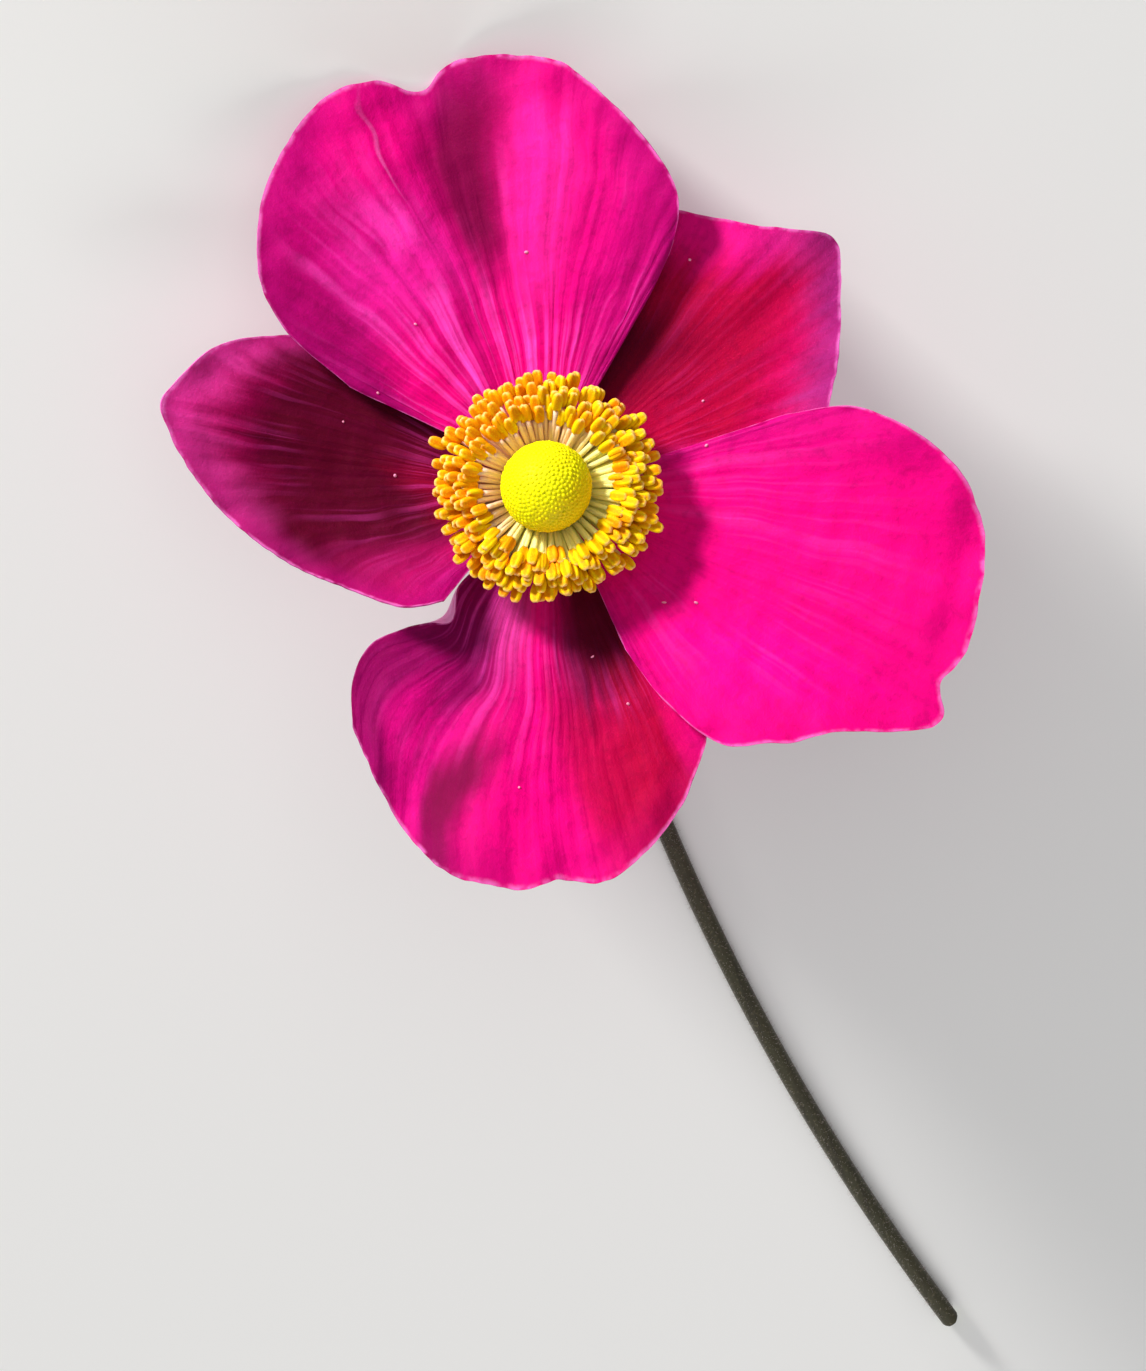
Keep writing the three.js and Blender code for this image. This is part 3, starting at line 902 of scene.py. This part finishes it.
# %% Stamens
RING_FOOT = 0.65
RING_HEIGHT = 1.45
RING_RADIUS = 2.9
RING_ROUND = 0.35
FILAMENT_RADIUS = 0.22
ANTHER_LENGTH = 1.6
ANTHER_WIDTH = 0.46
ANTHER_DEPTH = 0.34
BLUNTNESS = 2.7  # 2 would leave the anther an oval, and more makes its ends squarer
ROOT_DEPTH = 0.3
BOW = 0.4  # how far a stamen five millimetres tall bows up and inward
RADIUS_STRAY = 0.38  # how far a stamen may stand from its whorl's own circle and height
HEIGHT_STRAY = 0.4
TWIST = 0.7
WHORLS = [
    {"count": 42, "radius": 5.6, "height": 5.2, "foot": 1.95},
    {"count": 46, "radius": 6.2, "height": 5.45, "foot": 1.85},
    {"count": 50, "radius": 6.85, "height": 5.2, "foot": 1.65},
    {"count": 52, "radius": 7.5, "height": 4.75, "foot": 1.45},
    {"count": 48, "radius": 7.95, "height": 4.3, "foot": 1.2},
    {"count": 40, "radius": 8.2, "height": 3.6, "foot": 0.95},
]
STRAYS = [
    {"turn": -20, "radius": 8.9, "height": 4.2, "foot": 1.2},
    {"turn": 36, "radius": 8.8, "height": 3.9, "foot": 1.1},
    {"turn": 158, "radius": 9.1, "height": 3.7, "foot": 1.1},
]
STAMEN_STEPS = 7


def filament_finish():
    finish = Finish("filament_cream")
    place = finish.place()
    blush = finish.noise(place, 500.0, 1.0)
    # Pinker on the key lamp's side: painted light, as of light coming through the anthers.
    lamp_side_tint = (finish.toward(face_direction(140)) + blush * 3).rise(-1.5, 4.5)
    colour = finish.mix(lamp_side_tint, tint(255, 252, 152), tint(255, 208, 182))
    finish.set(
        Base_Color=colour, Roughness=0.5, Specular_IOR_Level=0.2,
        Subsurface_Weight=0.3, Subsurface_Radius=(1.0, 0.8, 0.5), Subsurface_Scale=0.0002,
    )
    return finish.material


def anther_finish():
    finish = Finish("anther_gold")
    place = finish.place()
    patch = finish.noise(place, 420.0, 2.0) + finish.toward(face_direction(150)) / 70
    pollen = finish.noise(place, 7000.0, 2.0)
    around, along = finish.grown()
    groove = (around * 2 * math.pi).wave().far_from(0).rise(0.8, 1.0)
    colour = finish.mix(patch.rise(0.38, 0.62), tint(255, 212, 0), tint(252, 164, 0))
    # The groove is painted a darker orange: painted shade in the crease.
    colour = finish.mix(groove * 0.55, colour, tint(224, 122, 0))
    colour = finish.mix(pollen.rise(0.5, 0.75) * 0.5, colour, tint(255, 226, 20))
    colour = finish.mix(along.rise(0.76, 0.98) * 0.7, colour, tint(255, 208, 140))
    finish.set(
        Base_Color=colour, Roughness=0.62, Specular_IOR_Level=0.12,
        Subsurface_Weight=0.15, Subsurface_Radius=(1.0, 0.6, 0.1), Subsurface_Scale=0.0004,
    )
    finish.bump(pollen, 0.00004, 0.8)
    return finish.material


def stamen_template(filament, anther):
    """A straight stamen up Z. Z runs from 0 to 1 up the filament, and 1 to 2 up the anther."""
    bpy.ops.object.select_all(action="DESELECT")
    bpy.ops.mesh.primitive_circle_add(vertices=5, radius=FILAMENT_RADIUS, fill_type="NGON")
    stamen = start_piece("stamen")
    bpy.ops.object.mode_set(mode="EDIT")
    for _ in range(STAMEN_STEPS):
        step = (0, 0, 1 / STAMEN_STEPS)
        bpy.ops.mesh.extrude_region_move(TRANSFORM_OT_translate={"value": step})
    bpy.ops.object.mode_set(mode="OBJECT")
    stamen.data.materials.append(filament)
    bpy.ops.object.select_all(action="DESELECT")
    bpy.ops.mesh.primitive_uv_sphere_add(segments=8, ring_count=8, radius=1)
    lobes = start_piece("lobes")
    lobes.data.materials.append(anther)
    ball = read_points(lobes.data)
    level = np.abs(ball[:, 2])
    slim = np.hypot(ball[:, 0], ball[:, 1])
    blunt = (1 - np.minimum(level, 1) ** BLUNTNESS) ** (1 / BLUNTNESS) / np.maximum(slim, 0.1)
    lobed = 1.3 - 0.9 * ridge(ball[:, 0] / np.maximum(slim, 0.1), 0.3)
    ball[:, 0] *= ANTHER_WIDTH * blunt
    ball[:, 1] *= ANTHER_DEPTH * blunt * lobed
    ball[:, 2] = 1.5 + ball[:, 2] / 2
    write_points(lobes.data, ball)
    join_into(stamen, lobes)
    bpy.ops.object.shade_smooth()
    return stamen


def bend_stamen(turn, radius, height, foot, twist):
    """A place for copies_of: it bends a straight stamen out along its own arc."""
    out = Vector((math.cos(turn), math.sin(turn), 0))
    up = Vector((0, 0, 1))
    root = out * (RING_RADIUS - ROOT_DEPTH) + up * foot
    end = out * radius + up * height
    middle = root.lerp(end, 0.5) + (up - 0.6 * out) * BOW * (height - 2) / 3
    share = 1 - ANTHER_LENGTH / (2 * (end - root).length)

    def arc(t):
        return root * (1 - t) ** 2 + middle * 2 * t * (1 - t) + end * t ** 2

    def apply(mesh):
        points = read_points(mesh)
        neck = arc(share)
        final = (end - neck).normalized()
        for index, (x, y, z) in enumerate(points):
            t = min(z, 1) * share
            ahead = (arc(t + 0.01) - arc(t)).normalized() if z < 1 else final
            side = ahead.cross(out.cross(up)).normalized()
            other = ahead.cross(side)
            turned_x = x * math.cos(twist) - y * math.sin(twist)
            turned_y = x * math.sin(twist) + y * math.cos(twist)
            spot = arc(t) + other * turned_x + side * turned_y
            spot += final * max(0, z - 1) * ANTHER_LENGTH
            points[index] = FACE_TO_FRAME @ spot
        write_points(mesh, points)

    return apply


def stamen_places():
    """The whorls, each half a step round from the last and none quite even, and then the strays."""
    draw = np.random.default_rng(5)
    places = []
    for number, whorl in enumerate(WHORLS):
        for i in range(whorl["count"]):
            turn = 2 * math.pi * (i + 0.5 * (number % 2) + draw.uniform(-0.3, 0.3)) / whorl["count"]
            radius = whorl["radius"] + draw.uniform(-RADIUS_STRAY, RADIUS_STRAY)
            height = whorl["height"] + draw.uniform(-HEIGHT_STRAY, HEIGHT_STRAY)
            twist = draw.uniform(-TWIST, TWIST)
            places.append(bend_stamen(turn, radius, height, whorl["foot"], twist))
    for stray in STRAYS:
        turn = math.radians(stray["turn"])
        places.append(bend_stamen(turn, stray["radius"], stray["height"], stray["foot"], 0))
    return places


def stamen_ring(material):
    """The ring of the receptacle that the filaments stand in."""
    bpy.ops.object.select_all(action="DESELECT")
    bpy.ops.mesh.primitive_cylinder_add(
        vertices=48, radius=RING_RADIUS, depth=RING_HEIGHT,
        location=(0, 0, RING_FOOT + RING_HEIGHT / 2),
    )
    ring = start_piece("stamen_ring")
    bpy.ops.object.transform_apply(location=True)
    bevel = ring.modifiers.new("round", "BEVEL")
    bevel.width = RING_ROUND
    bevel.segments = 3
    apply_modifiers(ring)
    ring.data.transform(FACE_TO_FRAME)
    bpy.ops.object.shade_smooth_by_angle(angle=math.radians(50))
    ring.data.materials.append(material)
    return ring


cream = filament_finish()
gold = anther_finish()
whorls = copies_of(stamen_template(cream, gold), stamen_places(), "stamen_whorls")
stamens = join_into(whorls, stamen_ring(cream))
finish_piece(stamens, "stamens", "stamens")

# %% [markdown]
# ## Fallen pollen
#
# An open bloom sheds pollen, and a few clumps of it lie on the petals as pale specks. Each is a
# small lumpy ball, pressed into the petal that it lies on.

# %% Pollen
CLUMPS_EACH = 3  # on each petal
CLUMP_RADIUS = 0.14


def pollen_finish():
    finish = Finish("pollen_pale")
    shade = finish.noise(finish.place(), 3000.0, 2.0)
    finish.set(Base_Color=finish.mix(shade, tint(250, 150, 176), tint(246, 150, 204)), Roughness=0.8)
    return finish.material


def pollen_places():
    draw = np.random.default_rng(8)
    places = []
    for spots in petal_spots:
        for spot in spots[draw.choice(len(spots), CLUMPS_EACH, replace=False)]:
            centre = Vector(spot) + axis * (BLADE / 2 + 0.3 * CLUMP_RADIUS) * MM
            size = [draw.uniform(0.5, 1.5), draw.uniform(0.5, 1.0), 0.6]
            turn = Matrix.Rotation(draw.uniform(0, math.pi), 4, "Z")
            places.append(Matrix.Translation(centre) @ turn @ Matrix.Diagonal((*size, 1)))
    return places


bpy.ops.object.select_all(action="DESELECT")
bpy.ops.mesh.primitive_ico_sphere_add(subdivisions=2, radius=CLUMP_RADIUS * MM)
clump = start_piece("clump")
bpy.ops.object.shade_smooth()
clump.data.materials.append(pollen_finish())
pollen = copies_of(clump, pollen_places(), "fallen_pollen")
finish_piece(pollen, "stamens")

# %% [markdown]
# ## The stalk
#
# The stalk is a long, thin stem, a little slimmer towards the bloom. Its top widens into the
# receptacle: a flare under the petals, and a core between their claws. A curve with a round bevel is
# the natural way to draw one: its points follow the frame's line from the core down to the surface
# and along it, and each has its own radius. Turned into a mesh, its end is cut at a slant and
# hollowed a little.

# %% Stalk
STALK_RADIUS = 0.78
NECK_RADIUS = 0.68
THICKENS_FROM = 10  # millimetres down from the top of the core
THICKENS_TO = 35
CORE_RADIUS = 2.05
CORE_TOP = 0.8  # heights above the receptacle's point, along the bloom's axis
FLARE_TOP = -1.25
FLARE_RADIUS = 2.3
FLARE_DEPTH = 1.15
FLARE_CURVE = 1.3
FLARE_LENGTH = 5
FLARE_POINTS = 26
STRAIGHT_NECK = 5
STALK_REACH = 97
STALK_SWEEP = 11
STALK_POINTS = 90
SPARE = 1.5  # drawn past the end, for the cut to take off
CUT_SLANT = 0.45
RIND = 0.12
PITH_STEP = 0.08
PITH_SINK = 0.1


def bezier(start, middle, end, t):
    return start * (1 - t) ** 2 + middle * 2 * t * (1 - t) + end * t ** 2


def stalk_line():
    """Evenly spaced points from the core of the receptacle to the cut end, in metres."""
    rest = STALK_RADIUS * MM
    corner = receptacle + axis * (rest - receptacle.z) / axis.z
    top = receptacle + axis * CORE_TOP * MM
    neck = receptacle - axis * STRAIGHT_NECK * MM
    landing = Vector((corner.x - (corner - neck).length, receptacle.y, rest))
    end = Vector((receptacle.x - STALK_REACH * MM, receptacle.y - STALK_SWEEP * MM, rest))
    middle = Vector(((landing.x + end.x) / 2, receptacle.y, rest))
    fine = [top.lerp(neck, i / 40) for i in range(40)]
    fine += [bezier(neck, corner, landing, i / 200) for i in range(200)]
    fine += [bezier(landing, middle, end, i / 600) for i in range(601)]
    steps = [(b - a).length for a, b in zip(fine, fine[1:])]
    run = np.concatenate([[0], np.cumsum(steps)])
    return np.array([list(p) for p in fine]), run


def stalk_radius(down):
    """The radius at a distance down from the top of the core, in millimetres."""
    below = down - (CORE_TOP - FLARE_TOP)
    if below < 0:
        return CORE_RADIUS
    thicker = float(rise(down, THICKENS_FROM, THICKENS_TO))
    slim = NECK_RADIUS + (STALK_RADIUS - NECK_RADIUS) * thicker
    return slim + (FLARE_RADIUS - slim) * math.exp(-((below / FLARE_DEPTH) ** FLARE_CURVE))


def stalk_finish():
    finish = Finish("stalk_brown")
    place = finish.place()
    ribs = finish.noise(finish.node("ShaderNodeMapping", {}, {0: place, 3: (60, 1600, 1600)}), 1.0)
    blotch = finish.noise(place, 320.0, 3.0)
    speck = finish.noise(place, 3800.0, 2.0)
    away = finish.away_from(receptacle)
    green = 1 - (away + blotch * 3).rise(3.2, 8)
    colour = finish.mix(blotch, tint(50, 38, 28), tint(86, 68, 54))
    colour = finish.mix((away + blotch * 24).rise(38, 74) * 0.65, colour, tint(46, 52, 20))
    colour = finish.mix(green * 0.8, colour, tint(112, 104, 62))
    colour = finish.mix(ribs.rise(0.5, 0.75) * 0.5, colour, tint(34, 26, 18))
    colour = finish.mix(speck.rise(0.56, 0.7) * 0.35, colour, tint(118, 108, 84))
    finish.set(Base_Color=colour, Roughness=0.68, Specular_IOR_Level=0.3, Sheen_Weight=0.15)
    finish.bump(ribs + speck * 0.5, 0.00008, 0.9)
    return finish.material


def cut_finish(centre):
    finish = Finish("stalk_cut_green")
    place = finish.place()
    cells = finish.node("ShaderNodeTexVoronoi", {}, {"Vector": place, "Scale": 12000.0})
    bundles = finish.node("ShaderNodeTexVoronoi", {}, {"Vector": place, "Scale": 3500.0})
    out = finish.away_from(centre) / STALK_RADIUS
    colour = finish.mix(cells.rise(0.1, 0.7), tint(212, 224, 160), tint(164, 188, 106))
    ring = out.rise(0.38, 0.52) * (1 - out.rise(0.69, 0.84))
    colour = finish.mix(ring * (1 - bundles.rise(0.25, 0.4)), colour, tint(104, 132, 56))
    colour = finish.mix((1 - out.rise(0.19, 0.48)) * 0.7, colour, tint(236, 238, 206))
    colour = finish.mix(out.rise(0.82, 0.97), colour, tint(96, 92, 52))
    finish.set(Base_Color=colour, Roughness=0.4, Specular_IOR_Level=0.5)
    finish.bump(cells, 0.00004, 0.8)
    return finish.material


def draw_stalk():
    """The stem as a mesh, its line, the distance run at each point of it, and its last heading."""
    line, run = stalk_line()
    length = run[-1] / MM
    seat = CORE_TOP - FLARE_TOP
    stops = [0, seat - 0.12, *np.linspace(seat, seat + FLARE_LENGTH, FLARE_POINTS)]
    stops += list(np.linspace(seat + FLARE_LENGTH + 0.6, length + SPARE, STALK_POINTS))
    curve = bpy.data.curves.new("stalk_stem", "CURVE")
    curve.dimensions = "3D"
    curve.bevel_depth = MM
    curve.bevel_resolution = 6
    curve.use_fill_caps = True
    spline = curve.splines.new("POLY")
    spline.points.add(len(stops) - 1)
    last = Vector(line[-1] - line[-2]).normalized()
    for point, down in zip(spline.points, stops):
        spot = [np.interp(min(down, length) * MM, run, line[:, k]) for k in range(3)]
        spot = Vector(spot) + last * max(0, down - length) * MM
        point.co = (*spot, 1)
        point.radius = stalk_radius(down)
    stalk = bpy.data.objects.new("stalk_stem", curve)
    bpy.context.scene.collection.objects.link(stalk)
    select_only(stalk)
    bpy.ops.object.convert(target="MESH")
    stalk = bpy.context.active_object
    return stalk, line, run, last


def cut_stalk(stalk, line, last):
    """Cuts the end at a slant and sinks the soft middle of the cut a little."""
    level = (last - Vector((0, 0, 1)) * CUT_SLANT).normalized()
    stalk.data.materials.append(stalk_finish())
    stalk.data.materials.append(cut_finish(Vector(line[-1])))
    select_only(stalk)
    bpy.ops.object.mode_set(mode="EDIT")
    bpy.ops.mesh.select_all(action="SELECT")
    bpy.ops.mesh.remove_doubles(threshold=1e-6)
    bpy.ops.mesh.select_all(action="SELECT")
    bpy.ops.mesh.bisect(plane_co=line[-1], plane_no=level, clear_outer=True, use_fill=True)
    work = bmesh.from_edit_mesh(stalk.data)
    for face in work.faces:
        away = abs((face.calc_center_median() - Vector(line[-1])).dot(level))
        face.select = face.normal.dot(level) > 0.99 and away < 1e-5
        face.material_index = 1 if face.select else 0
    bmesh.update_edit_mesh(stalk.data)
    bpy.ops.mesh.inset(thickness=RIND * MM)
    bpy.ops.mesh.inset(thickness=PITH_STEP * MM, depth=-PITH_SINK * MM)
    bpy.ops.object.mode_set(mode="OBJECT")
    bpy.ops.object.shade_smooth_by_angle(angle=math.radians(40))


stalk, stalk_points, stalk_run, stalk_last = draw_stalk()
cut_stalk(stalk, stalk_points, stalk_last)
finish_piece(stalk, "stalk", "stalk")

# %% [markdown]
# ## The down on the stalk
#
# Short grey hairs stand out all round the stalk and catch the light at its edges. Hair curves would
# be lost on export, so each hair is a real three-sided sliver, modelled once and copied some
# thousands of times. Most lean a little towards the bloom, and none reaches below the surface.

# %% Stalk hairs
HAIRS = 3900
HAIR_LENGTH = 0.36
HAIR_RADIUS = 0.013
SMOOTH_TOP = 3.2  # the core and the widest part of the flare have no hairs
SMOOTH_END = 0.8
CLEAR_OF_TABLE = 0.05


def hair_finish():
    finish = Finish("stalk_down")
    shade = finish.noise(finish.place(), 900.0, 1.0)
    colour = finish.mix(shade, tint(150, 134, 126), tint(196, 184, 176))
    finish.set(Base_Color=colour, Roughness=0.55, Sheen_Weight=0.4)
    return finish.material


def hair_template():
    bpy.ops.object.select_all(action="DESELECT")
    bpy.ops.mesh.primitive_cone_add(vertices=3, radius1=HAIR_RADIUS * MM, radius2=0, depth=MM)
    hair = start_piece("hair")
    hair.data.transform(Matrix.Translation((0, 0, MM / 2)))
    bpy.ops.object.shade_smooth()
    hair.data.materials.append(hair_finish())
    return hair


def hair_places(line, run):
    draw = np.random.default_rng(21)
    length = run[-1] / MM
    places = []
    while len(places) < HAIRS:
        down = draw.uniform(SMOOTH_TOP, length - SMOOTH_END)
        spot = Vector([np.interp(down * MM, run, line[:, k]) for k in range(3)])
        next_spot = Vector([np.interp((down + 0.2) * MM, run, line[:, k]) for k in range(3)])
        back = (spot - next_spot).normalized()
        side = back.cross(Vector((0, 1, 0))).normalized()
        turn = draw.uniform(0, 2 * math.pi)
        outward = side * math.cos(turn) + back.cross(side) * math.sin(turn)
        root = spot + outward * (stalk_radius(down) - 0.03) * MM
        lean = (outward + back * draw.uniform(-0.1, 0.7)).normalized()
        size = HAIR_LENGTH * draw.uniform(0.5, 1.3)
        if min((root + lean * size * MM).z, root.z) < CLEAR_OF_TABLE * MM:
            continue
        turn = lean.to_track_quat("Z", "Y").to_matrix().to_4x4()
        places.append(Matrix.Translation(root) @ turn @ Matrix.Diagonal((1, 1, size, 1)))
    return places


down = copies_of(hair_template(), hair_places(stalk_points, stalk_run), "stalk_down")
finish_piece(down, "stalk")

# %% [markdown]
# ## Floor, light and camera
#
# The flower lies on a plain pale table in soft studio light. The key lamp stands off to the upper
# left of the picture, so that the stamens throw a soft shadow to the right, and a large lamp near
# the camera and the pale surroundings fill it in. The key only grazes the table, so a third lamp
# lights that, and stands edge on to the petals, which it hardly touches. The camera looks down
# square to the face of the bloom, turned so that the stalk runs off to the lower right.

# %% Floor
bpy.ops.object.select_all(action="DESELECT")
bpy.ops.mesh.primitive_plane_add(size=6)
table = start_piece("table_top")
surface = Finish("table_white")
cloud = surface.noise(surface.place(), 3.0, 2.0)
surface.set(Base_Color=surface.mix(cloud, (0.91, 0.91, 0.9, 1), (0.94, 0.94, 0.93, 1)), Roughness=0.7)
table.data.materials.append(surface.material)
table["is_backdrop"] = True

# %% Camera
PHOTO_WIDTH, PHOTO_HEIGHT = 1146, 1371
FILL = 0.92  # how much of the picture's width or height the flower takes up
CAMERA_DISTANCE = 0.7
CENTRING_PASSES = 3

face_right = (FACE_TO_FRAME.to_3x3() @ Vector((1, 0, 0))).normalized()
face_up = (FACE_TO_FRAME.to_3x3() @ Vector((0, 1, 0))).normalized()


def picture_place(point, eye):
    """Where a point falls, right and up, as tangents from the eye looking along the axis."""
    reach = point - eye
    depth = -reach.dot(axis)
    return reach.dot(face_right) / depth, reach.dot(face_up) / depth


def shown_points():
    """Every seventh point of each piece, which is enough to frame the flower."""
    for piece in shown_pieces():
        for corner in read_points(piece.data)[::7]:
            yield Vector(corner)


eye = receptacle + axis * CAMERA_DISTANCE
for _ in range(CENTRING_PASSES):
    rights, ups = zip(*(picture_place(point, eye) for point in shown_points()))
    shift_right = (max(rights) + min(rights)) / 2 * CAMERA_DISTANCE
    shift_up = (max(ups) + min(ups)) / 2 * CAMERA_DISTANCE
    eye += face_right * shift_right + face_up * shift_up
half_width = (max(rights) - min(rights)) / 2 / FILL
half_height = (max(ups) - min(ups)) / 2 / FILL
half_height = max(half_height, half_width * PHOTO_HEIGHT / PHOTO_WIDTH)

camera_data = bpy.data.cameras.new("camera")
camera_data.sensor_width = 36
camera_data.lens = camera_data.sensor_width / 2 / half_height
camera_data.clip_start = 0.01
camera_data.clip_end = 20
camera = bpy.data.objects.new("camera", camera_data)
turned = Matrix((face_right, face_up, axis)).transposed().to_4x4()
camera.matrix_world = Matrix.Translation(eye) @ turned
bpy.context.scene.collection.objects.link(camera)
bpy.context.scene.camera = camera
print("camera lens", round(camera_data.lens, 1), "mm")

# %% Light
KEY_SIDE = math.radians(137)  # round the picture, from its right
KEY_SLANT = math.radians(53)  # away from the camera
TABLE_SIDE = Vector((-0.87, 0, 0.5))  # square to the bloom's axis
SURROUNDINGS = 0.24


def lamp(name, toward, distance, size, power, colour=(1, 1, 1)):
    """A square lamp that shines on the bloom from a direction, in metres and watts."""
    data = bpy.data.lights.new(name, "AREA")
    data.size = size
    data.energy = power
    data.color = colour
    made = bpy.data.objects.new(name, data)
    made.location = head_centre + toward.normalized() * distance
    made.rotation_mode = "QUATERNION"
    made.rotation_quaternion = toward.to_track_quat("Z", "Y")
    bpy.context.scene.collection.objects.link(made)


sideways = face_right * math.cos(KEY_SIDE) + face_up * math.sin(KEY_SIDE)
lamp(
    "key", axis * math.cos(KEY_SLANT) + sideways * math.sin(KEY_SLANT),
    distance=0.8, size=0.14, power=9.8, colour=(1, 0.98, 0.95),
)
lamp("fill", axis + 0.15 * face_up, distance=1.2, size=0.8, power=1.9)
lamp("table_glow", TABLE_SIDE, distance=1.2, size=0.8, power=7.0)
world = bpy.data.worlds.new("studio")
world.use_nodes = True
world.node_tree.nodes["Background"].inputs["Color"].default_value = (1, 1, 1, 1)
world.node_tree.nodes["Background"].inputs["Strength"].default_value = SURROUNDINGS
bpy.context.scene.world = world
bpy.context.scene.view_settings.view_transform = "Standard"
